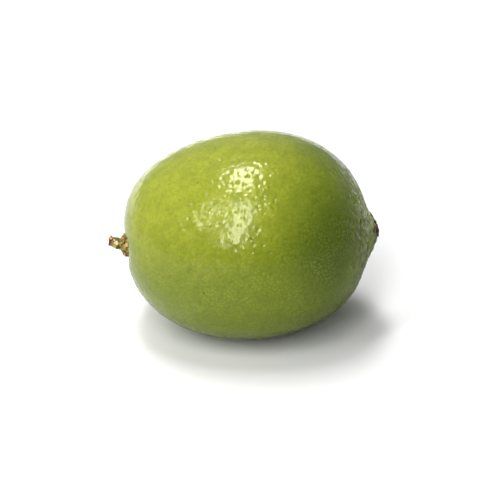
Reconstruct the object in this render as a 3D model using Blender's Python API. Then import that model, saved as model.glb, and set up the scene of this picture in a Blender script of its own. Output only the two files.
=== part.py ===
"""A whole Persian lime lying on its side: the fruit, its calyx, a stub of stem and the dried style remnant.

X runs along the fruit, from the stem end at -X to the nipple at +X. Z is up, and the fruit stands on z = 0
on a small flat spot. The origin is on that surface, under the middle of the whole length.
"""

import math

import bmesh
import bpy

# Fruit: rings about the X axis, widest at WIDEST_X. The stem end is longer than the nipple end.
FRUIT_RADIUS = 0.0261
WIDEST_X = 0.0027
MEAN_HALF_LENGTH = 0.03035
STEM_END_EXTRA = 0.0018
FULLNESS = 2.445
END_BLEND = 0.2
FRUIT_SUBDIVISIONS = 5

# Small departures from a turned shape.
SWAY = 0.00045
SWAY_SIDE = 0.0002
STEM_SHOULDER = 0.00115
STEM_SHOULDER_POWER = 12
OVALITY = 0.006
THREE_SIDEDNESS = 0.004
FLAT_DEPTH = 0.0004

# Stem end: where the calyx sits, and the shallow trough round it, which leans over towards +Z at -Y.
CALYX_Y = -0.0005
CALYX_Z = -0.0026
TROUGH_Y = -0.0010
TROUGH_Z = -0.0030
TROUGH_DEPTH = 0.0012
TROUGH_WIDTH = 0.0039
TROUGH_LENGTH = 0.0080
TROUGH_LEAN = math.radians(28)
TROUGH_STEEPNESS = 3

# Blossom end: the nipple.
NIPPLE_Y = 0.0001
NIPPLE_Z = 0.0002
NIPPLE_HEIGHT = 0.0024
NIPPLE_WIDTH = 0.0052
NIPPLE_STEEPNESS = 2.4

# Small pieces. GAP is the clearance between neighbouring pieces.
GAP = 0.0003
CALYX_RADIUS = 0.0029
CALYX_HEIGHT = 0.0024
CALYX_FLOOR = 0.55
CALYX_FLOOR_SHARE = 0.62
CALYX_WALL_SHARE = 0.18
CALYX_LOBES = 5
CALYX_LOBE_DEPTH = 0.10
STEM_ROOT_RADIUS = 0.0014
STEM_TIP_RADIUS = 0.0010
STEM_LENGTH = 0.0032
STEM_RISE = 0.28
REMNANT_Y = 0.0009
REMNANT_Z = 0.0013
REMNANT_RADIUS = 0.0022
REMNANT_HEIGHT = 0.00035
REMNANT_LOBES = 7
REMNANT_LOBE_DEPTH = 0.08
RINGS = 7
SEGMENTS = 40


def toward_stem(u):
    """From -1 at the nipple end to 1 at the stem end, turning smoothly near the widest ring."""
    return -u * math.sqrt(1 + END_BLEND**2) / math.sqrt(u * u + END_BLEND**2)


def ring_centre(x):
    """The sideways and upward shift of the ring at x from the straight axis."""
    t = (x - WIDEST_X + STEM_END_EXTRA) / MEAN_HALF_LENGTH
    t = max(-1.0, min(1.0, t))
    sway = math.sin(math.pi * t)
    shoulder = STEM_SHOULDER * max(0.0, -t) ** STEM_SHOULDER_POWER
    return SWAY_SIDE * sway, SWAY * sway + shoulder


def end_relief(side, y, z):
    """How far the trough or the nipple moves the skin along X at the end on that side (-1 stem, 1 nipple)."""
    if side < 0:
        y, z = y - TROUGH_Y, z - TROUGH_Z
        across = (y * math.sin(TROUGH_LEAN) + z * math.cos(TROUGH_LEAN)) / TROUGH_WIDTH
        along = (z * math.sin(TROUGH_LEAN) - y * math.cos(TROUGH_LEAN)) / TROUGH_LENGTH
        return TROUGH_DEPTH * math.exp(-(math.hypot(across, along) ** TROUGH_STEEPNESS))
    reach = math.hypot(y - NIPPLE_Y, z - NIPPLE_Z) / NIPPLE_WIDTH
    return NIPPLE_HEIGHT * math.exp(-(reach**NIPPLE_STEEPNESS))


def skin_point(ux, uy, uz):
    """The skin's point in a unit direction, with the fruit's axis at y = 0 and z = 0."""
    stemward = toward_stem(ux)
    x = WIDEST_X + (MEAN_HALF_LENGTH + STEM_END_EXTRA * stemward) * ux
    turn = math.atan2(uz, uy)
    ring = FRUIT_RADIUS * math.hypot(uy, uz) ** (2 / FULLNESS)
    ring *= 1 + OVALITY * math.cos(2 * turn) + THREE_SIDEDNESS * math.cos(3 * turn)
    shift_y, shift_z = ring_centre(x)
    y = ring * math.cos(turn) + shift_y
    z = ring * math.sin(turn) + shift_z
    return x + end_relief(math.copysign(1, ux), y, z), y, z


def skin_x(side, y, z):
    """Where the skin lies along X at (y, z), near the end on that side."""
    reach = MEAN_HALF_LENGTH - STEM_END_EXTRA * side
    x = WIDEST_X + side * reach
    shift_y, shift_z = ring_centre(x)
    ring = math.hypot(y - shift_y, z - shift_z)
    off_axis = (ring / FRUIT_RADIUS) ** (FULLNESS / 2)
    return WIDEST_X + side * reach * math.sqrt(1 - off_axis**2) + end_relief(side, y, z)


def principled(name, colour, roughness):
    """A plain Principled material."""
    material = bpy.data.materials.new(name)
    material.use_nodes = True
    shader = material.node_tree.nodes["Principled BSDF"]
    shader.inputs["Base Color"].default_value = (*colour, 1)
    shader.inputs["Roughness"].default_value = roughness
    shader.inputs["Metallic"].default_value = 0
    return material


def add_object(name, bm, material):
    """Turns a bmesh into a smooth-shaded object, with its faces pointing out."""
    bmesh.ops.recalc_face_normals(bm, faces=bm.faces)
    mesh = bpy.data.meshes.new(name)
    bm.to_mesh(mesh)
    bm.free()
    mesh.materials.append(material)
    mesh.shade_smooth()
    made = bpy.data.objects.new(name, mesh)
    bpy.context.scene.collection.objects.link(made)
    return made


def make_fruit():
    """The fruit as one solid. Returns its object and the height of its axis above the surface."""
    bm = bmesh.new()
    bmesh.ops.create_icosphere(bm, subdivisions=FRUIT_SUBDIVISIONS, radius=1)
    for vertex in bm.verts:
        vertex.co = skin_point(*vertex.co.normalized())
    axis_height = -FLAT_DEPTH - min(vertex.co.z for vertex in bm.verts)
    for vertex in bm.verts:
        vertex.co.z = max(0.0, vertex.co.z + axis_height)
    green = principled("lime_skin", (0.30, 0.36, 0.05), 0.35)
    return add_object("fruit", bm, green), axis_height


def add_rings(bm, rings):
    """Skins a stack of rings of points, each end closed to one point, into one closed body."""
    loops = [[bm.verts.new(point) for point in ring] for ring in rings]
    for low, high in zip(loops[1:-1], loops[2:-1]):
        for i in range(SEGMENTS):
            j = (i + 1) % SEGMENTS
            bm.faces.new((low[i], low[j], high[j], high[i]))
    for ring, tip in ((loops[1], loops[0][0]), (loops[-2], loops[-1][0])):
        for i in range(SEGMENTS):
            bm.faces.new((ring[i], ring[(i + 1) % SEGMENTS], tip))


def lobed_outline(share, turn, radius, lobes, lobe_depth):
    """Offset from the piece's centre at a share of its radius, with the rim drawn out into lobes."""
    reach = radius * share * (1 + lobe_depth * share * math.cos(lobes * turn))
    return reach * math.cos(turn), reach * math.sin(turn)


def skin_cap(name, side, centre, outline, height, axis_height, material):
    """A low body that follows the skin at one end: outline is (radius, lobes, lobe depth), and
    height(share) is the thickness at a share of the radius.
    """
    layers = [(i / RINGS, 0.0) for i in range(RINGS + 1)]
    layers += [(i / RINGS, 1.0) for i in range(RINGS - 1, -1, -1)]
    rings = []
    for share, top in layers:
        ring = []
        for i in range(SEGMENTS if share else 1):
            y, z = lobed_outline(share, 2 * math.pi * i / SEGMENTS, *outline)
            y, z = y + centre[0], z + centre[1]
            lift = GAP + top * height(share)
            ring.append((skin_x(side, y, z) + side * lift, y, z + axis_height))
        rings.append(ring)
    bm = bmesh.new()
    add_rings(bm, rings)
    return add_object(name, bm, material)


def calyx_height(share):
    """A cup with a flat floor that the stem stands on, a raised wall round it and a rounded rim."""
    rise = max(0.0, min(1.0, (share - CALYX_FLOOR_SHARE) / CALYX_WALL_SHARE))
    cup = CALYX_FLOOR + (1 - CALYX_FLOOR) * rise * rise * (3 - 2 * rise)
    return CALYX_HEIGHT * cup * math.sqrt(1 - 0.97 * share**8)


def remnant_height(share):
    """A flat dried button with a rounded rim."""
    return REMNANT_HEIGHT * math.sqrt(1 - 0.95 * share**4)


def make_calyx(axis_height):
    """The five-lobed calyx, seated in the trough at the stem end."""
    outline = (CALYX_RADIUS, CALYX_LOBES, CALYX_LOBE_DEPTH)
    brown = principled("dried_calyx", (0.20, 0.11, 0.03), 0.75)
    return skin_cap("calyx", -1, (CALYX_Y, CALYX_Z), outline, calyx_height, axis_height, brown)


def make_style_remnant(axis_height):
    """The dried, corky base of the style on the nipple's tip."""
    outline = (REMNANT_RADIUS, REMNANT_LOBES, REMNANT_LOBE_DEPTH)
    dark = principled("dried_style", (0.05, 0.03, 0.015), 0.85)
    centre = (REMNANT_Y, REMNANT_Z)
    return skin_cap("style_remnant", 1, centre, outline, remnant_height, axis_height, dark)


def stem_radius(share):
    """The stub's radius from its root (0) to its broken tip (1), with both ends rounded off."""
    taper = STEM_ROOT_RADIUS + (STEM_TIP_RADIUS - STEM_ROOT_RADIUS) * share
    return taper * (1 - (2 * share - 1) ** 12) ** 0.25


def make_stem_stub(axis_height):
    """The stub of stem, standing on the calyx and leaning up a little towards its broken tip."""
    lean = math.hypot(1, STEM_RISE)
    along_x, along_z = -1 / lean, STEM_RISE / lean
    clearance = GAP + STEM_ROOT_RADIUS * STEM_RISE
    root_x = skin_x(-1, CALYX_Y, CALYX_Z) - GAP - calyx_height(0.0) - clearance
    root_z = CALYX_Z + axis_height
    rings = []
    for k in range(2 * RINGS + 1):
        share = (1 - math.cos(math.pi * k / (2 * RINGS))) / 2
        x = root_x + along_x * STEM_LENGTH * share
        z = root_z + along_z * STEM_LENGTH * share
        radius = stem_radius(share)
        ring = []
        for i in range(SEGMENTS if 0 < k < 2 * RINGS else 1):
            across = radius * math.cos(2 * math.pi * i / SEGMENTS)
            up = radius * math.sin(2 * math.pi * i / SEGMENTS)
            ring.append((x + up * along_z, CALYX_Y + across, z - up * along_x))
        rings.append(ring)
    bm = bmesh.new()
    add_rings(bm, rings)
    return add_object("stem_stub", bm, principled("dry_stem", (0.28, 0.24, 0.09), 0.7))


def main():
    for old in list(bpy.data.objects):
        bpy.data.objects.remove(old)
    fruit, axis_height = make_fruit()
    for piece in (make_calyx(axis_height), make_stem_stub(axis_height), make_style_remnant(axis_height)):
        piece.parent = fruit


main()
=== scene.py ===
"""Looks for a whole Persian lime: its rind with glands and pits, the dried calyx, the broken stub of stem
and the dried style remnant, on a pale floor in soft studio light.

Lengths are in metres. X runs along the fruit from the stem end to the nipple, and Z is up from the floor.
"""

import math

import bmesh
import bpy
import numpy as np
from mathutils import Euler, Matrix, Vector, kdtree, noise


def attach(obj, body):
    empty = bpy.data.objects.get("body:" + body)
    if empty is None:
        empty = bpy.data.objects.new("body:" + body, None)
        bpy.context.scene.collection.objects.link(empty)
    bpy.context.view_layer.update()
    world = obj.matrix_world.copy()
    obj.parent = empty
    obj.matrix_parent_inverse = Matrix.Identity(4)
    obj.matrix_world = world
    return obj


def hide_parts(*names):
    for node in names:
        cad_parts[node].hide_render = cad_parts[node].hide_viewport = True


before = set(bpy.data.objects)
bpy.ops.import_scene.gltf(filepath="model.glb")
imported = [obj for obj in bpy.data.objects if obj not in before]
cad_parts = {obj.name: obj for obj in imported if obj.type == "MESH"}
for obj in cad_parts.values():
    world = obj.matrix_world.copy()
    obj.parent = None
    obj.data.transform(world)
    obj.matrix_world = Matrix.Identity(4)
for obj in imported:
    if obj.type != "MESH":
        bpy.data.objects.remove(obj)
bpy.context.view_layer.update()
MM = 0.001

# The fruit's skin, as in the CAD part.
FRUIT_RADIUS = 0.0261
WIDEST_X = 0.0027
MEAN_HALF_LENGTH = 0.03035
STEM_END_EXTRA = 0.0018
FULLNESS = 2.445
END_BLEND = 0.2
SWAY = 0.00045
SWAY_SIDE = 0.0002
STEM_SHOULDER = 0.00115
STEM_SHOULDER_POWER = 12
OVALITY = 0.006
THREE_SIDEDNESS = 0.004
FLAT_DEPTH = 0.0004
TROUGH_Y = -0.0010
TROUGH_Z = -0.0030
TROUGH_DEPTH = 0.0012
TROUGH_WIDTH = 0.0039
TROUGH_LENGTH = 0.0080
TROUGH_LEAN = math.radians(28)
TROUGH_STEEPNESS = 3
NIPPLE_Y = 0.0001
NIPPLE_Z = 0.0002
NIPPLE_HEIGHT = 0.0024
NIPPLE_WIDTH = 0.0052
NIPPLE_STEEPNESS = 2.4

# Small pieces. Turns are about X, from +Y towards +Z; FRONT is the side that shows most.
CALYX_Y = -0.0005
CALYX_Z = -0.0026
STEM_RISE = 0.28
REMNANT_Y = 0.0009
REMNANT_Z = 0.0013
FRONT = math.radians(152)

# Rind relief. Marks are a count, the smallest and the largest radius, and the greatest depth or height.
# The nipple's relief sets in along X over NIPPLE_AREA, and all relief grows with Z over CALM_BOTTOM.
CELLS_PER_FACE = 176
TILE_MARGIN = 0.006
SEED = 7
PITS = (2800, 0.35 * MM, 0.60 * MM, 0.17 * MM)
BUMPS = (4200, 0.40 * MM, 0.60 * MM, 0.085 * MM)
END_PITS = (1900, 0.55 * MM, 0.95 * MM, 0.45 * MM)
PEBBLE_DEPTH = 0.024 * MM
SWELL_DEPTH = 0.05 * MM
FURROW_DEPTH = 0.25 * MM
FURROW_SHARPNESS = 0.18
NIPPLE_AREA = (22 * MM, 31 * MM)
CALM_BOTTOM = (2 * MM, 12 * MM)

# Rind colours: first the top and the stem end, the lower part, the nipple end and the nipple itself.
# The nipple end's dark green and the cheek's green are partly the rind's own and partly painted shade.
# The two places are the middles of the darkest cheek and of the brown scar.
YELLOW_GREEN = (0.284, 0.316, 0.026)
MID_GREEN = (0.172, 0.222, 0.009)
DARK_GREEN_AND_SHADE = (0.118, 0.166, 0.007)
PALE_GREEN = (0.310, 0.380, 0.055)
CHEEK_GREEN_AND_SHADE = (0.06, 0.09, 0.012)
GLAND_GREEN = (0.42, 0.52, 0.10)
GLAND_RING_GREEN = (0.07, 0.11, 0.006)
BLOTCH_GREEN = (0.09, 0.14, 0.010)
PIT_SHADE_GREEN = (0.07, 0.10, 0.010)
FURROW_SHADE_GREEN = (0.06, 0.085, 0.012)
SPECK_BROWN = (0.05, 0.045, 0.010)
SCAR_BROWN = (0.085, 0.065, 0.022)
DARK_AND_SHADED_CHEEK = (0.0205, -0.0160, 0.0320)
SCAR = (0.0327, -0.0015, 0.0270)

# Dried tissue colours. The beige is a painted highlight, and the darkest browns also paint shade into
# creases and hollows.
OLIVE = (0.32, 0.29, 0.060)
BROWN = (0.17, 0.085, 0.022)
TAN = (0.70, 0.43, 0.15)
HIGHLIGHT_BEIGE = (0.72, 0.56, 0.32)
RUST = (0.30, 0.10, 0.02)
DARK_BROWN = (0.045, 0.024, 0.007)
DARK_OLIVE = (0.16, 0.13, 0.03)
FRESH_GREEN = (0.42, 0.42, 0.07)
CRUST_DARK = (0.035, 0.018, 0.014)
CRUST_RUSTY = (0.12, 0.06, 0.025)
CORK = (0.30, 0.21, 0.10)
HOLLOW_SHADE_BLACK = (0.012, 0.008, 0.006)

# Camera: the angle and distance it looks from, the point it looks at, and the width it takes in there.
CAMERA_ELEVATION = math.radians(28)
CAMERA_DISTANCE = 0.6
CAMERA_AIM = Vector((0.00185, 0, 0.0212))
VIEW_WIDTH = 0.125

# The point that the lights look at.
LIT_POINT = (0, 0, 0.026)


def toward_stem(u):
    """From -1 at the nipple end to 1 at the stem end, turning smoothly near the widest ring."""
    return -u * math.sqrt(1 + END_BLEND**2) / np.sqrt(u * u + END_BLEND**2)


def ring_centre(x):
    """The sideways and upward shift of the ring at x from the straight axis."""
    t = np.clip((x - WIDEST_X + STEM_END_EXTRA) / MEAN_HALF_LENGTH, -1, 1)
    sway = np.sin(math.pi * t)
    shoulder = STEM_SHOULDER * np.maximum(0, -t) ** STEM_SHOULDER_POWER
    return SWAY_SIDE * sway, SWAY * sway + shoulder


def trough(y, z):
    """How far the trough round the calyx sinks the stem end."""
    y, z = y - TROUGH_Y, z - TROUGH_Z
    across = (y * math.sin(TROUGH_LEAN) + z * math.cos(TROUGH_LEAN)) / TROUGH_WIDTH
    along = (z * math.sin(TROUGH_LEAN) - y * math.cos(TROUGH_LEAN)) / TROUGH_LENGTH
    return TROUGH_DEPTH * np.exp(-(np.hypot(across, along) ** TROUGH_STEEPNESS))


def nipple(y, z):
    """How far the nipple stands out of the blossom end."""
    reach = np.hypot(y - NIPPLE_Y, z - NIPPLE_Z) / NIPPLE_WIDTH
    return NIPPLE_HEIGHT * np.exp(-(reach**NIPPLE_STEEPNESS))


def skin(directions):
    """The skin's points in unit directions, one a row, with the fruit's axis at y = 0 and z = 0."""
    ux, uy, uz = directions.T
    x = WIDEST_X + (MEAN_HALF_LENGTH + STEM_END_EXTRA * toward_stem(ux)) * ux
    turn = np.arctan2(uz, uy)
    ring = FRUIT_RADIUS * np.hypot(uy, uz) ** (2 / FULLNESS)
    ring *= 1 + OVALITY * np.cos(2 * turn) + THREE_SIDEDNESS * np.cos(3 * turn)
    shift_y, shift_z = ring_centre(x)
    y = ring * np.cos(turn) + shift_y
    z = ring * np.sin(turn) + shift_z
    x = x + np.where(ux < 0, trough(y, z), nipple(y, z))
    return np.stack((x, y, z), 1)


def between(values, low, high):
    """0 up to low, 1 from high, and smooth between."""
    t = np.clip((values - low) / (high - low), 0, 1)
    return t * t * (3 - 2 * t)


def end_point(side, y, z, lift, axis_height):
    """A point that far outside the skin at (y, z) from the axis, near one end (-1 stem, 1 nipple)."""
    reach = MEAN_HALF_LENGTH - STEM_END_EXTRA * side
    shift_y, shift_z = ring_centre(WIDEST_X + side * reach)
    off_axis = (math.hypot(y - shift_y, z - shift_z) / FRUIT_RADIUS) ** (FULLNESS / 2)
    relief = trough(y, z) if side < 0 else nipple(y, z)
    x = WIDEST_X + side * (reach * math.sqrt(1 - off_axis**2) + lift) + relief
    return Vector((x, y, z + axis_height))


def cube_sphere(cells):
    """A sphere made of a cube's six square grids: unit directions, and each grid's point numbers."""
    steps = np.arange(cells + 1)
    grids = []
    for axis in range(3):
        for end in (0, 1):
            first, second = ((axis + 1) % 3, (axis + 2) % 3)[:: 1 if end else -1]
            grid = np.zeros((cells + 1, cells + 1, 3), int)
            grid[..., axis] = end * cells
            grid[..., first] = steps[:, None]
            grid[..., second] = steps
            grids.append(grid.reshape(-1, 3))
    places, numbers = np.unique(np.concatenate(grids), axis=0, return_inverse=True)
    directions = np.tan(math.pi / 4 * (2 * places / cells - 1))
    directions /= np.linalg.norm(directions, axis=1)[:, None]
    return directions, numbers.reshape(6, cells + 1, cells + 1)


def corners(grids):
    """Each quad's four corner values, from six grids of values."""
    around = (grids[:, :-1, :-1], grids[:, 1:, :-1], grids[:, 1:, 1:], grids[:, :-1, 1:])
    return np.stack(around, 3)


def tile_map(cells):
    """Places for the six grids on a map of three by two tiles, with a margin round each."""
    share = TILE_MARGIN + (1 - 2 * TILE_MARGIN) * np.arange(cells + 1) / cells
    tiles = np.zeros((6, cells + 1, cells + 1, 2))
    for face in range(6):
        tiles[face, ..., 0] = (face // 2 + share[:, None]) / 3
        tiles[face, ..., 1] = (face % 2 + share) / 2
    return tiles


def flat_map(points, numbers):
    """Places for the six grids at about their real size in metres, well apart from each other."""
    steps = np.arange(numbers.shape[1])
    flat = np.zeros((*numbers.shape, 2))
    for face, grid in enumerate(points[numbers]):
        down = np.linalg.norm(np.diff(grid, axis=0), axis=2).mean()
        along = np.linalg.norm(np.diff(grid, axis=1), axis=2).mean()
        flat[face, ..., 0] = face + down * steps[:, None]
        flat[face, ..., 1] = face + along * steps
    return flat


def add_map(piece, name, places):
    """Gives each face corner its place on a map, from six grids of places."""
    uv = np.stack([corners(places[..., k]) for k in (0, 1)], -1)
    piece.data.uv_layers.new(name=name).uv.foreach_set("vector", uv.astype(np.float32).ravel())


def fractal(points, size, octaves, seed):
    """Smooth noise from about -1 to 1 at each point, with features of about that size."""
    shift = Vector((seed * 17.3, seed * 5.9, seed * 11.7))
    places = (Vector(p) / size + shift for p in points)
    return np.array([noise.fractal(p, 0.9, 2.0, octaves) for p in places])


def scattered_directions(count, rng):
    """Unit directions spread evenly over a sphere, then shuffled about by up to their spacing."""
    turns = np.arange(count) * math.pi * (3 - math.sqrt(5))
    ux = 1 - (2 * np.arange(count) + 1) / count
    ring = np.sqrt(1 - ux**2)
    directions = np.stack((ux, ring * np.cos(turns), ring * np.sin(turns)), 1)
    directions += rng.normal(0, 1.1 / math.sqrt(count), directions.shape)
    return directions / np.linalg.norm(directions, axis=1)[:, None]


def round_marks(points, centres, radii):
    """At each point, from 0 on smooth skin to 1 in the nearest mark's middle, and that mark's number."""
    tree = kdtree.KDTree(len(centres))
    for i, centre in enumerate(centres):
        tree.insert(centre, i)
    tree.balance()
    found = [tree.find(p) for p in points]
    nearest = np.array([index for _, index, _ in found])
    distance = np.array([length for _, _, length in found])
    return np.exp(-((distance / radii[nearest]) ** 2)), nearest


def new_object(name, points, faces):
    """A smooth-shaded mesh object."""
    mesh = bpy.data.meshes.new(name)
    mesh.from_pydata(points, [], faces)
    mesh.update()
    mesh.shade_smooth()
    made = bpy.data.objects.new(name, mesh)
    bpy.context.scene.collection.objects.link(made)
    return made


def vertex_values(piece, name, values):
    """Stores one number a vertex for the piece's material to read."""
    attribute = piece.data.attributes.new(name, "FLOAT", "POINT")
    attribute.data.foreach_set("value", values.astype(np.float32))


def make_rind():
    """The whole fruit with its pits, bumps and swells, and the furrows round the nipple. Its relief fades
    towards the floor. Returns it with the height of its axis.
    """
    rng = np.random.default_rng(SEED)
    directions, numbers = cube_sphere(CELLS_PER_FACE)
    points = skin(directions)
    axis_height = -FLAT_DEPTH - points[:, 2].min()
    points[:, 2] += axis_height
    rind = new_object("lime_rind", points.tolist(), corners(numbers).reshape(-1, 4).tolist())
    add_map(rind, "OFBake", tile_map(CELLS_PER_FACE))
    add_map(rind, "glands", flat_map(points, numbers))
    normals = np.empty(len(points) * 3, np.float32)
    rind.data.vertex_normals.foreach_get("vector", normals)
    normals = normals.reshape(-1, 3)

    def marks(count, smallest, largest, height):
        """Scattered round marks: 1 in a mark's middle and 0 away from it, and how far it rises or sinks."""
        centres = skin(scattered_directions(count, rng)) + (0, 0, axis_height)
        mark, nearest = round_marks(points, centres, rng.uniform(smallest, largest, count))
        return mark, mark * (height * rng.uniform(0.15, 1, count) ** 2)[nearest]

    near_nipple = between(points[:, 0], *NIPPLE_AREA)
    pit, pit_depth = marks(*PITS)
    _, bump_height = marks(*BUMPS)
    end_pit, end_depth = marks(*END_PITS)
    relief = bump_height - pit_depth - end_depth * near_nipple
    relief += PEBBLE_DEPTH * fractal(points, 1.5 * MM, 2, 1)
    relief += SWELL_DEPTH * fractal(points, 5 * MM, 2, 2)
    wander = fractal(points * (1.6, 1, 1), 2.6 * MM, 2, 3)
    furrow = near_nipple * np.exp(-((wander / FURROW_SHARPNESS) ** 2))
    relief -= FURROW_DEPTH * furrow
    relief *= 0.3 + 0.7 * between(points[:, 2], *CALM_BOTTOM)
    points = points + normals * relief[:, None]
    points[:, 2] = np.maximum(0, points[:, 2])
    rind.data.vertices.foreach_set("co", points.astype(np.float32).ravel())
    rind.data.update()
    vertex_values(rind, "pit", np.maximum(pit, end_pit * near_nipple))
    vertex_values(rind, "furrow", np.maximum(furrow, end_pit * near_nipple))
    return rind, axis_height


def fused(name, blobs, cell):
    """Ellipsoids fused into one closed body. Each is a centre, three radii and a turn about X, which
    carries the second radius round from Y.
    """
    bm = bmesh.new()
    for centre, radii, turn in blobs:
        place = Matrix.LocRotScale(centre, Euler((turn, 0, 0)), Vector(radii))
        bmesh.ops.create_icosphere(bm, subdivisions=3, radius=1, matrix=place)
    mesh = bpy.data.meshes.new(name)
    bm.to_mesh(mesh)
    bm.free()
    rough = bpy.data.objects.new(name + "_rough", mesh)
    bpy.context.scene.collection.objects.link(rough)
    remesh = rough.modifiers.new("fuse", "REMESH")
    remesh.mode = "VOXEL"
    remesh.voxel_size = cell
    evaluated = rough.evaluated_get(bpy.context.evaluated_depsgraph_get())
    body = bpy.data.objects.new(name, bpy.data.meshes.new_from_object(evaluated))
    bpy.data.objects.remove(rough)
    bpy.context.scene.collection.objects.link(body)
    body.data.shade_smooth()
    return body


def roughen(piece, layers, stretch=1.0):
    """Wrinkles a piece: each layer is a depth and a size, and stretch draws the wrinkles out along X.
    Stores on each vertex, as "hollow", how far it lies below its surroundings.
    """
    mesh = piece.data
    points = np.empty(len(mesh.vertices) * 3, np.float32)
    normals = np.empty_like(points)
    mesh.vertices.foreach_get("co", points)
    mesh.vertex_normals.foreach_get("vector", normals)
    points, normals = points.reshape(-1, 3), normals.reshape(-1, 3)
    drawn = points * (1 / stretch, 1, 1)
    relief = sum(depth * fractal(drawn, size, 3, seed) for seed, (depth, size) in enumerate(layers))
    points = points + normals * relief[:, None]
    mesh.vertices.foreach_set("co", points.astype(np.float32).ravel())
    mesh.update()

    edges = np.empty(len(mesh.edges) * 2, np.int32)
    mesh.edges.foreach_get("vertices", edges)
    edges = np.concatenate((edges.reshape(-1, 2), edges.reshape(-1, 2)[:, ::-1]))
    count = np.bincount(edges[:, 0], minlength=len(points))
    calm = points
    for _ in range(12):
        sums = [np.bincount(edges[:, 0], calm[edges[:, 1], k], len(points)) for k in range(3)]
        calm = np.stack(sums, 1) / count[:, None]
    vertex_values(piece, "hollow", ((calm - points) * normals).sum(1))


def make_calyx(axis_height):
    """The dried calyx: a lumpy cup of five withered sepals, with knobs, scales and a loose tip."""
    rng = np.random.default_rng(SEED + 1)

    def seat(reach, turn, lift):
        y = CALYX_Y + reach * MM * math.cos(turn)
        z = CALYX_Z + reach * MM * math.sin(turn)
        return end_point(-1, y, z, lift * MM, axis_height)

    def blob(reach, turn, lift, *radii):
        return seat(reach, turn, lift), [radius * MM for radius in radii], turn

    blobs = [blob(0, 0, 0.5, 1.2, 2.6, 2.6), blob(0, 0, 1.4, 1.1, 2.05, 2.05)]
    for i in range(5):
        turn = FRONT + math.radians(18 + 72 * i)
        blobs.append(blob(2.1, turn, rng.uniform(0.9, 1.5), 0.9, 0.8, 0.9))
        blobs.append(blob(2.7, turn + rng.uniform(-0.2, 0.2), 0.45, 0.45, 0.3, 0.7))
    for i in range(16):
        reach = rng.uniform(1.3, 2.6)
        size = rng.uniform(0.26, 0.48)
        lift = 3.1 - 0.75 * reach + rng.uniform(-0.3, 0.2)
        blobs.append(blob(reach, 2.4 * i, lift, 0.8 * size, size, size))
    blobs.append(blob(2.85, FRONT, 0.5, 0.45, 0.22, 0.62))
    blobs.append(blob(2.55, FRONT - math.radians(84), 0.75, 0.35, 0.55, 0.25))
    blobs.append(blob(3.3, FRONT + math.radians(92), 0.12, 0.12, 0.75, 0.2))
    calyx = fused("lime_calyx", blobs, 0.075 * MM)
    roughen(calyx, ((0.10 * MM, 0.8 * MM), (0.07 * MM, 0.3 * MM)))
    return calyx, seat(2.95, FRONT, 0.5)


def make_stem_stub(axis_height):
    """The stub of stem: it leans up, swells a little, and ends in a jagged break with one high splinter.
    Returns it with a function for places on its surface.
    """
    rng = np.random.default_rng(SEED + 2)
    root = end_point(-1, CALYX_Y, CALYX_Z, 1.3 * MM, axis_height)
    along = Vector((-1, 0, STEM_RISE)).normalized()

    def place(height, reach, turn):
        round_axis = Vector((0, math.cos(turn), math.sin(turn)))
        return root + along * height * MM + round_axis * reach * MM

    blobs = []
    for height, radius in ((0.2, 1.75), (1.1, 1.45), (1.9, 1.5), (2.6, 1.35), (3.1, 1.12)):
        blobs.append((place(height, 0, 0), (0.9 * MM, radius * MM, radius * MM), 0))
    for i in range(11):
        turn = 2 * math.pi * i / 11
        size = rng.uniform(0.22, 0.36) * MM
        tooth = place(rng.uniform(3.5, 3.85), rng.uniform(0.55, 0.85), turn)
        blobs.append((tooth, (size, size, size), turn))
    splinter = FRONT - math.radians(80)
    blobs.append((place(3.5, 0.95, splinter), (0.3 * MM, 0.5 * MM, 0.3 * MM), splinter))
    blobs.append((place(3.35, 1.2, splinter), (0.2 * MM, 0.35 * MM, 0.2 * MM), splinter))
    stub = fused("lime_stem_stub", blobs, 0.06 * MM)
    roughen(stub, ((0.10 * MM, 0.7 * MM), (0.05 * MM, 0.25 * MM)), stretch=2.5)
    return stub, place


def make_style_remnant(axis_height):
    """The dried style's base: a low crusty button of dark lumps, with bare hollows between them."""
    rng = np.random.default_rng(SEED + 3)

    def seat(reach, turn, lift):
        y = REMNANT_Y + reach * MM * math.cos(turn)
        z = REMNANT_Z + reach * MM * math.sin(turn)
        return end_point(1, y, z, lift * MM, axis_height)

    blobs = []
    for i in range(26):
        reach = 1.95 * math.sqrt((i + 0.5) / 26)
        turn = 2.4 * i
        width = rng.uniform(0.32, 0.55) * MM
        lift = rng.uniform(-0.05, 0.12)
        blobs.append((seat(reach, turn, lift), (rng.uniform(0.2, 0.32) * MM, width, width * 1.2), turn))
    for i in range(9):
        width = rng.uniform(0.10, 0.26) * MM
        strand = seat(2.0 + 0.24 * i, math.radians(58 + 1.5 * i), 0.0)
        blobs.append((strand, (0.18 * MM, 0.24 * MM, width), math.radians(60)))
    remnant = fused("lime_style_remnant", blobs, 0.05 * MM)
    roughen(remnant, ((0.06 * MM, 0.5 * MM), (0.03 * MM, 0.2 * MM)))
    return remnant


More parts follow.
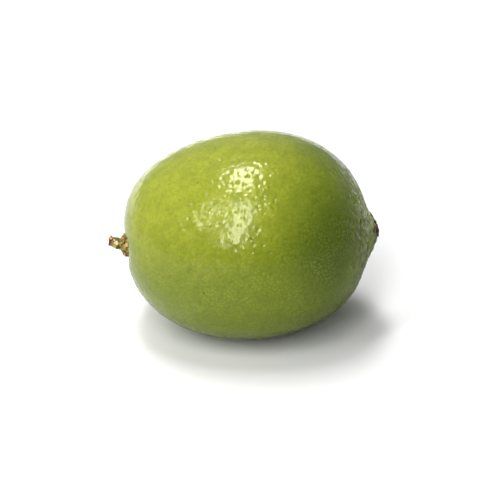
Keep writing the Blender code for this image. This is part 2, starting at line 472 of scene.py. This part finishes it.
class Graph:
    """A material's nodes. Each method adds one node and returns its output. An argument is a number, a
    colour or the output of another node.
    """

    def __init__(self, name):
        self.material = bpy.data.materials.new(name)
        self.material.use_nodes = True
        self.nodes = self.material.node_tree.nodes
        self.shader = self.nodes["Principled BSDF"]
        self.place = self.nodes.new("ShaderNodeTexCoord").outputs["Object"]

    def plug(self, value, socket):
        if isinstance(value, bpy.types.NodeSocket):
            self.material.node_tree.links.new(value, socket)
        elif socket.type == "RGBA":
            socket.default_value = (*value, 1)
        else:
            socket.default_value = value

    def set(self, **inputs):
        """Sets or connects the shader's own inputs."""
        for name, value in inputs.items():
            self.plug(value, self.shader.inputs[name.replace("_", " ")])

    def maths(self, operation, *values):
        made = self.nodes.new("ShaderNodeMath")
        made.operation = operation
        for value, socket in zip(values, made.inputs):
            self.plug(value, socket)
        return made.outputs[0]

    def band(self, value, low, high, start=0.0, end=1.0):
        """Runs smoothly from start, where value is low, to end, where it is high."""
        made = self.nodes.new("ShaderNodeMapRange")
        made.interpolation_type = "SMOOTHSTEP"
        for number, socket in zip((value, low, high, start, end), made.inputs):
            self.plug(number, socket)
        return made.outputs[0]

    def blend(self, share, first, second):
        made = self.nodes.new("ShaderNodeMix")
        made.data_type = "RGBA"
        self.plug(share, made.inputs["Factor"])
        colours = [socket for socket in made.inputs if socket.type == "RGBA"]
        self.plug(first, colours[0])
        self.plug(second, colours[1])
        return next(socket for socket in made.outputs if socket.type == "RGBA")

    def noise(self, size, detail=2.0, roughness=0.5, warp=0.0, place=None):
        """Noise from 0 to 1, with features of about that size in metres."""
        made = self.nodes.new("ShaderNodeTexNoise")
        self.plug(place or self.place, made.inputs["Vector"])
        made.inputs["Scale"].default_value = 1 / size
        made.inputs["Detail"].default_value = detail
        made.inputs["Roughness"].default_value = roughness
        made.inputs["Distortion"].default_value = warp
        return made.outputs["Fac"]

    def cells(self, size):
        """Cells of about that size: the distance from the nearest one's middle, as a share of the size."""
        made = self.nodes.new("ShaderNodeTexVoronoi")
        self.plug(self.place, made.inputs["Vector"])
        made.inputs["Scale"].default_value = 1 / size
        return made.outputs["Distance"]

    def flat_cells(self, size):
        """The same, for cells laid out flat on the skin."""
        spread = self.nodes.new("ShaderNodeUVMap")
        spread.uv_map = "glands"
        made = self.nodes.new("ShaderNodeTexVoronoi")
        made.voronoi_dimensions = "2D"
        self.plug(spread.outputs["UV"], made.inputs["Vector"])
        made.inputs["Scale"].default_value = 1 / size
        return made.outputs["Distance"]

    def axis(self, name):
        made = self.nodes.new("ShaderNodeSeparateXYZ")
        self.plug(self.place, made.inputs[0])
        return made.outputs[name]

    def drawn_out(self, scale):
        """The place with each axis scaled, which draws a texture out along the axes with small scales."""
        made = self.nodes.new("ShaderNodeVectorMath")
        made.operation = "MULTIPLY"
        self.plug(self.place, made.inputs[0])
        made.inputs[1].default_value = scale
        return made.outputs["Vector"]

    def from_point(self, point):
        """The distance from a point."""
        made = self.nodes.new("ShaderNodeVectorMath")
        made.operation = "DISTANCE"
        self.plug(self.place, made.inputs[0])
        made.inputs[1].default_value = point
        return made.outputs["Value"]

    def along(self, direction):
        """The place's distance along a direction."""
        made = self.nodes.new("ShaderNodeVectorMath")
        made.operation = "DOT_PRODUCT"
        self.plug(self.place, made.inputs[0])
        made.inputs[1].default_value = direction
        return made.outputs["Value"]

    def stored(self, name):
        """The numbers stored on the piece's vertices under that name."""
        made = self.nodes.new("ShaderNodeAttribute")
        made.attribute_name = name
        return made.outputs["Fac"]

    def bump(self, height, depth, under=None):
        """A normal for a surface that height raises by up to depth metres."""
        made = self.nodes.new("ShaderNodeBump")
        made.inputs["Strength"].default_value = 1
        made.inputs["Distance"].default_value = depth
        self.plug(height, made.inputs["Height"])
        if under is not None:
            self.plug(under, made.inputs["Normal"])
        return made.outputs[0]


def rind_material():
    """Waxy rind: yellow-green to mid green, with pale oil glands, pits and furrows darkened with painted
    shade, a few specks, and a brown scar on the nipple.
    """
    graph = Graph("lime_skin")
    drift = graph.maths("MULTIPLY_ADD", graph.noise(14 * MM, 2), 12 * MM, -6 * MM)
    downward = graph.maths("ADD", graph.along((0.35, 0, -0.94)), drift)
    colour = graph.blend(graph.band(downward, -42 * MM, -24 * MM), YELLOW_GREEN, MID_GREEN)
    # Darker green towards the right: partly the rind's own colour, partly painted shade of the side away
    # from the lights.
    rightward = graph.maths("ADD", graph.along((0.9, 0.25, -0.1)), drift)
    colour = graph.blend(graph.band(rightward, -6 * MM, 19 * MM), colour, DARK_GREEN_AND_SHADE)
    # The dark cheek: partly the rind's own darker green, partly painted shade.
    cheek_and_shade = graph.band(graph.from_point(DARK_AND_SHADED_CHEEK), 4 * MM, 18 * MM, 0.7, 0.0)
    colour = graph.blend(cheek_and_shade, colour, CHEEK_GREEN_AND_SHADE)
    tip = graph.maths("ADD", graph.axis("X"), drift)
    colour = graph.blend(graph.band(tip, 23 * MM, 35 * MM, 0.0, 0.8), colour, PALE_GREEN)
    dots = graph.flat_cells(0.82 * MM)
    pale = graph.blend(0.32, colour, GLAND_GREEN)
    clear = graph.band(graph.noise(6 * MM, 3), 0.35, 0.65, 0.25, 0.65)
    clear = graph.maths("MULTIPLY", clear, graph.band(downward, -42 * MM, -20 * MM, 0.45, 1.0))
    colour = graph.blend(graph.band(dots, 0.45, 0.75, 0.0, 0.15), colour, GLAND_RING_GREEN)
    colour = graph.blend(graph.band(dots, 0.1, 0.42, clear, 0.0), colour, pale)
    blotch = graph.band(graph.noise(3 * MM, 3, 0.6), 0.35, 0.65, 0.25, 0.0)
    colour = graph.blend(blotch, colour, BLOTCH_GREEN)
    # Painted shade darkens the pits a little.
    pit = graph.stored("pit")
    colour = graph.blend(graph.band(pit, 0.3, 1.0, 0.0, 0.12), colour, PIT_SHADE_GREEN)
    # Painted shade darkens the furrows round the nipple.
    furrow = graph.band(graph.stored("furrow"), 0.1, 1.0, 0.0, 0.42)
    colour = graph.blend(furrow, colour, FURROW_SHADE_GREEN)
    specks = graph.cells(5 * MM)
    colour = graph.blend(graph.band(specks, 0.03, 0.08, 0.7, 0.0), colour, SPECK_BROWN)
    ragged = graph.maths("MULTIPLY_ADD", graph.noise(1.2 * MM, 3), 4 * MM, graph.from_point(SCAR))
    colour = graph.blend(graph.band(ragged, 3.2 * MM, 5.2 * MM, 0.85, 0.0), colour, SCAR_BROWN)
    graph.set(Base_Color=colour)
    graph.set(Roughness=graph.band(graph.noise(2.5 * MM, 2), 0.3, 0.7, 0.15, 0.21))
    round_fruit = graph.drawn_out((1.0, 0.42, 0.42))
    pebbles = graph.bump(graph.noise(0.8 * MM, 2, place=round_fruit), 0.026 * MM)
    glands = graph.bump(graph.band(dots, 0.1, 0.8, 1.0, 0.0), 0.007 * MM, pebbles)
    graph.set(Normal=glands)
    graph.set(Specular_IOR_Level=0.5, Subsurface_Weight=0.10, Subsurface_Scale=2 * MM)
    graph.set(Subsurface_Radius=(1.0, 1.0, 0.3), Specular_Tint=(1.0, 1.0, 0.7))
    return graph.material


def calyx_material(scale_place):
    """Dry calyx: brown and olive, tan on its scales and knobs, painted shade nearly black in its creases.
    """
    graph = Graph("dried_calyx")
    patches = graph.noise(1.1 * MM, 3, 0.6)
    colour = graph.blend(graph.band(patches, 0.42, 0.54), BROWN, OLIVE)
    freckles = graph.noise(0.45 * MM, 2, 0.6, 0.5)
    colour = graph.blend(graph.band(freckles, 0.56, 0.7, 0.0, 0.75), colour, TAN)
    colour = graph.blend(graph.band(freckles, 0.3, 0.42, 0.85, 0.0), colour, DARK_BROWN)
    ragged = graph.maths("MULTIPLY_ADD", freckles, 0.5 * MM, graph.from_point(scale_place))
    colour = graph.blend(graph.band(ragged, 0.6 * MM, 0.95 * MM, 0.9, 0.0), colour, TAN)
    hollow = graph.stored("hollow")
    colour = graph.blend(graph.band(hollow, -0.09 * MM, -0.03 * MM, 0.4, 0.0), colour, TAN)
    # Painted shade: nearly black in the creases.
    colour = graph.blend(graph.band(hollow, -0.01 * MM, 0.04 * MM, 0.0, 0.95), colour, DARK_BROWN)
    graph.set(Base_Color=colour, Roughness=graph.band(patches, 0.3, 0.7, 0.5, 0.8))
    fibres = graph.bump(graph.noise(0.16 * MM, 3), 0.03 * MM)
    graph.set(Normal=fibres, Specular_IOR_Level=0.35)
    return graph.material


def stem_material(place):
    """Dry bark: olive, with pale patches of painted highlight on top, a greener spot, and a burnt-looking
    broken end.
    """
    graph = Graph("dry_stem")
    fleck = graph.noise(0.4 * MM, 3, 0.6, 0.4)
    colour = graph.blend(graph.band(fleck, 0.4, 0.6), OLIVE, DARK_OLIVE)

    def patch(centre, size, colour_in, under, strength=1.0):
        ragged = graph.maths("MULTIPLY_ADD", fleck, 0.7 * MM, graph.from_point(centre))
        edge = (size + 0.35) * MM
        mask = graph.band(ragged, edge - 0.1 * MM, edge + 0.12 * MM, strength, 0.0)
        return graph.blend(mask, under, colour_in)

    above, below = FRONT - math.radians(25), FRONT + math.radians(45)
    colour = patch(place(1.55, 1.3, below), 0.55, DARK_BROWN, colour, 0.8)
    colour = patch(place(2.1, 1.4, above), 0.85, DARK_BROWN, colour, 0.7)
    # Painted highlight: pale beige patches on the stub's front and top.
    colour = patch(place(2.05, 1.5, FRONT), 0.6, HIGHLIGHT_BEIGE, colour)
    colour = patch(place(2.7, 1.4, above), 0.3, HIGHLIGHT_BEIGE, colour)
    colour = patch(place(2.65, 1.3, below), 0.45, FRESH_GREEN, colour)
    ragged = graph.noise(0.7 * MM, 3, 0.6)
    outward = (-0.96, 0, 0.27)
    end = graph.maths("MULTIPLY_ADD", ragged, 2.2 * MM, graph.along(outward))
    middle = place(3.2, 0, 0).dot(Vector(outward))
    rusty = graph.band(end, middle + 0.8 * MM, middle + 1.1 * MM, 0.0, 0.8)
    colour = graph.blend(rusty, colour, RUST)
    burnt = graph.band(end, middle + 1.2 * MM, middle + 1.5 * MM, 0.0, 0.9)
    colour = graph.blend(burnt, colour, DARK_BROWN)
    colour = patch(place(3.5, 0.9, FRONT - math.radians(60)), 0.35, TAN, colour)
    # Painted shade: dark brown in the creases.
    hollow = graph.stored("hollow")
    colour = graph.blend(graph.band(hollow, 0.0, 0.05 * MM, 0.0, 0.8), colour, DARK_BROWN)
    graph.set(Base_Color=colour, Roughness=graph.band(fleck, 0.3, 0.7, 0.5, 0.75))
    fibres = graph.bump(graph.noise(0.15 * MM, 3), 0.025 * MM)
    graph.set(Normal=fibres, Specular_IOR_Level=0.35)
    return graph.material


def remnant_material():
    """Dried style: dark purple-brown crust, rusty where it is thin, with pale corky flecks and painted
    shade nearly black in its hollows.
    """
    graph = Graph("dried_style")
    patches = graph.noise(0.7 * MM, 3, 0.6)
    colour = graph.blend(graph.band(patches, 0.4, 0.62), CRUST_DARK, CRUST_RUSTY)
    flecks = graph.noise(0.3 * MM, 2, 0.5, 0.5)
    colour = graph.blend(graph.band(flecks, 0.6, 0.72, 0.0, 0.7), colour, CORK)
    hollow = graph.stored("hollow")
    # Painted shade: nearly black in the hollows between the lumps.
    colour = graph.blend(graph.band(hollow, 0.0, 0.04 * MM, 0.0, 0.9), colour, HOLLOW_SHADE_BLACK)
    graph.set(Base_Color=colour, Roughness=graph.band(patches, 0.3, 0.7, 0.6, 0.85))
    graph.set(Normal=graph.bump(graph.noise(0.12 * MM, 3), 0.02 * MM), Specular_IOR_Level=0.3)
    return graph.material


def place_piece(piece, slot, material, *nodes):
    """Gives a piece its material and the CAD nodes that it stands for. The slot is not used."""
    piece.data.materials.append(material)
    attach(piece, "root")
    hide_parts(*nodes)


def add_light(name, place, aim, size, watts, up=(0, 0, 1)):
    """A soft rectangular light, which the camera doesn't see. Its size is its width, and its length the
    way that up points.
    """
    data = bpy.data.lights.new(name, "AREA")
    data.shape = "RECTANGLE"
    data.size, data.size_y = size
    data.energy = watts
    light = bpy.data.objects.new(name, data)
    back = (Vector(place) - Vector(aim)).normalized()
    across = Vector(up).cross(back).normalized()
    light.location = place
    light.rotation_euler = Matrix((across, back.cross(across), back)).transposed().to_euler()
    light.visible_camera = False
    bpy.context.scene.collection.objects.link(light)
    return light


def make_lights():
    """An overhead softbox, a tall one and a narrow one in front, fills on the left and behind on top, a
    glint from the right that only reflections show, and a lamp that whitens the floor behind.
    """
    add_light("overhead", (-0.13, 0.05, 1.0), LIT_POINT, (0.17, 0.5), 5.8, up=(0, 1, 0))
    add_light("front", (-0.165, -0.76, 0.68), LIT_POINT, (0.21, 0.85), 7.2)
    add_light("front_left", (-0.46, -0.50, 0.74), LIT_POINT, (0.04, 0.5), 1.7)
    top_back = add_light("top_back", (-0.35, 0.45, 0.85), LIT_POINT, (0.6, 0.4), 2.2, up=(0, 1, 0))
    left = add_light("left", (-0.85, -0.20, 0.48), LIT_POINT, (1.0, 0.7), 2.6)
    rim = add_light("rim", (0.75, 0.45, 0.22), LIT_POINT, (0.9, 0.4), 0.25)
    behind = add_light("behind", (-0.40, 0.5, 0.6), (-0.40, 0.5, 0), (1.1, 0.3), 7.0, up=(0, 1, 0))
    behind.data.spread = math.radians(60)
    left.visible_glossy = top_back.visible_glossy = rim.visible_diffuse = False


def make_world():
    """White where the camera sees it. As light it is dim, and brighter behind and on the left and in
    reflections.
    """
    world = bpy.data.worlds.new("surroundings")
    bpy.context.scene.world = world
    world.use_nodes = True
    nodes, links = world.node_tree.nodes, world.node_tree.links
    seen = nodes["Background"]
    seen.inputs["Color"].default_value = (1, 1, 1, 1)
    seen.inputs["Strength"].default_value = 1.1
    light = nodes.new("ShaderNodeBackground")
    place = nodes.new("ShaderNodeTexCoord")
    side = nodes.new("ShaderNodeVectorMath")
    side.operation = "DOT_PRODUCT"
    side.inputs[1].default_value = (-0.5, 0.8, 0.1)
    links.new(place.outputs["Generated"], side.inputs[0])
    strength = nodes.new("ShaderNodeMapRange")
    for number, socket in zip((-0.4, 0.8, 0.05, 0.35), list(strength.inputs)[1:5]):
        socket.default_value = number
    links.new(side.outputs["Value"], strength.inputs[0])
    path = nodes.new("ShaderNodeLightPath")
    gain = nodes.new("ShaderNodeMath")
    gain.operation = "MULTIPLY_ADD"
    gain.inputs[1].default_value = 0.6
    gain.inputs[2].default_value = 1.0
    links.new(path.outputs["Is Glossy Ray"], gain.inputs[0])
    brightness = nodes.new("ShaderNodeMath")
    brightness.operation = "MULTIPLY"
    links.new(strength.outputs[0], brightness.inputs[0])
    links.new(gain.outputs[0], brightness.inputs[1])
    links.new(brightness.outputs[0], light.inputs["Strength"])
    mix = nodes.new("ShaderNodeMixShader")
    links.new(path.outputs["Is Camera Ray"], mix.inputs[0])
    links.new(light.outputs[0], mix.inputs[1])
    links.new(seen.outputs[0], mix.inputs[2])
    links.new(mix.outputs[0], nodes["World Output"].inputs[0])


def make_floor():
    """A plain white floor. It sends less light up to the fruit on the right than on the left, and shows
    darker in the fruit's reflections in front on the right.
    """
    half = 0.5
    outline = [(-half, -half, 0), (half, -half, 0), (half, half, 0), (-half, half, 0)]
    floor = new_object("floor", outline, [(0, 1, 2, 3)])
    graph = Graph("floor")
    path = graph.nodes.new("ShaderNodeLightPath")
    bounce = graph.band(graph.axis("X"), -0.1, 0.1, 0.80, 0.52)
    shine = graph.band(graph.axis("X"), -0.05, 0.05, 0.7, 0.3)
    shine = graph.maths("MAXIMUM", shine, graph.band(graph.axis("Y"), 0.0, 0.08, 0.0, 0.6))
    bounce = graph.band(path.outputs["Is Glossy Ray"], 0, 1, bounce, shine)
    white = graph.band(path.outputs["Is Camera Ray"], 0, 1, bounce, 0.84)
    graph.set(Base_Color=white, Roughness=0.9, Specular_IOR_Level=0.1)
    floor.data.materials.append(graph.material)


def make_camera():
    """The camera, looking along +Y and down at the fruit."""
    data = bpy.data.cameras.new("camera")
    data.lens = data.sensor_width * CAMERA_DISTANCE / VIEW_WIDTH
    camera = bpy.data.objects.new("camera", data)
    back = Vector((0, -math.cos(CAMERA_ELEVATION), math.sin(CAMERA_ELEVATION)))
    camera.location = CAMERA_AIM + back * CAMERA_DISTANCE
    camera.rotation_euler = (math.pi / 2 - CAMERA_ELEVATION, 0, 0)
    bpy.context.scene.collection.objects.link(camera)
    bpy.context.scene.camera = camera


def main():
    rind, axis_height = make_rind()
    place_piece(rind, "lime_skin", rind_material(), "fruit")
    calyx, scale_place = make_calyx(axis_height)
    place_piece(calyx, "dried_calyx", calyx_material(scale_place), "calyx")
    stub, place = make_stem_stub(axis_height)
    place_piece(stub, "dry_stem", stem_material(place), "stem_stub")
    remnant = make_style_remnant(axis_height)
    place_piece(remnant, "dried_style", remnant_material(), "style_remnant")
    make_floor()
    make_lights()
    make_world()
    make_camera()
    bpy.context.scene.view_settings.view_transform = "Standard"


main()
